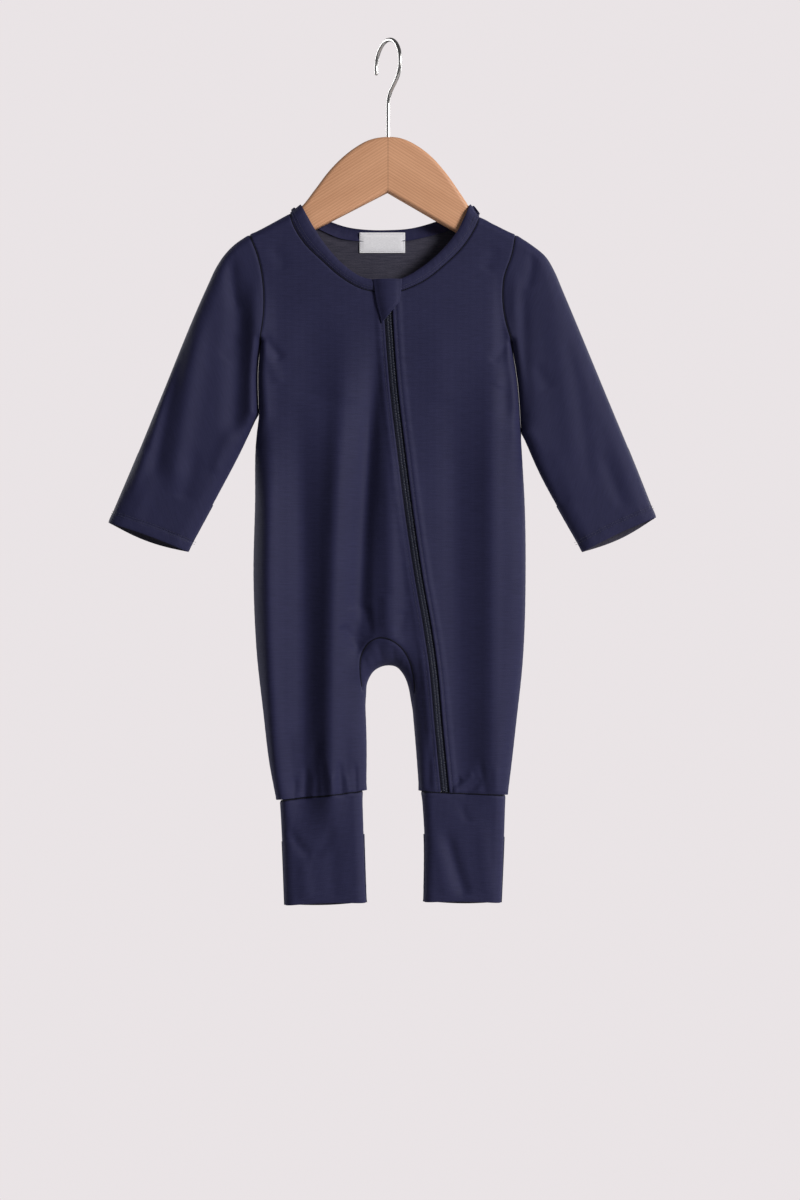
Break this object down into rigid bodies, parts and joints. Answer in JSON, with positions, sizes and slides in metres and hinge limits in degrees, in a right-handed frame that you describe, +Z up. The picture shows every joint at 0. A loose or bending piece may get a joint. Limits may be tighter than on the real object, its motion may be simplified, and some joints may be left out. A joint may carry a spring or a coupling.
{
  "type": "onesie pajama on a hanger",
  "caption": "Long-sleeved baby one-piece with a slanting front zip, round neck and cuffed legs, hanging flat on a small wooden hanger with a wire hook.",
  "frame": {"origin": "inner top of the hanger's hook, where it hangs on a rail", "axes": "+Z up, +X to the wearer's left, -Y the way the front of the garment faces"},
  "size_m": [0.4519, 0.0378, 0.7113],
  "materials": {
    "jersey": "soft knitted jersey, dark navy, faint sheen",
    "zip_tape": "woven tape, near-black navy",
    "zip_nylon": "satin nylon coil",
    "zip_metal": "navy enamel",
    "label": "white woven satin",
    "wood": "clear satin varnish over fine straight grain",
    "steel": "satin nickel"
  },
  "bodies": {
    "root": {"front_panel_right": "jersey", "front_panel_left": "jersey", "back_panel": "jersey", "gusset": "jersey", "sleeve_right": "jersey", "sleeve_left": "jersey", "mitten_flap_right": "jersey", "mitten_flap_left": "jersey", "leg_cuff_right": "jersey", "leg_cuff_left": "jersey", "foot_flap_right": "jersey", "foot_flap_left": "jersey", "neck_band": "jersey", "zip_guard": "jersey", "zip_tape_right": "zip_tape", "zip_tape_left": "zip_tape", "zip_coil": "zip_nylon", "zip_slider": "zip_metal", "zip_pull": "zip_metal", "neck_label": "label", "hanger_wood": "wood", "hanger_hook": "steel"}
  },
  "joints": []
}
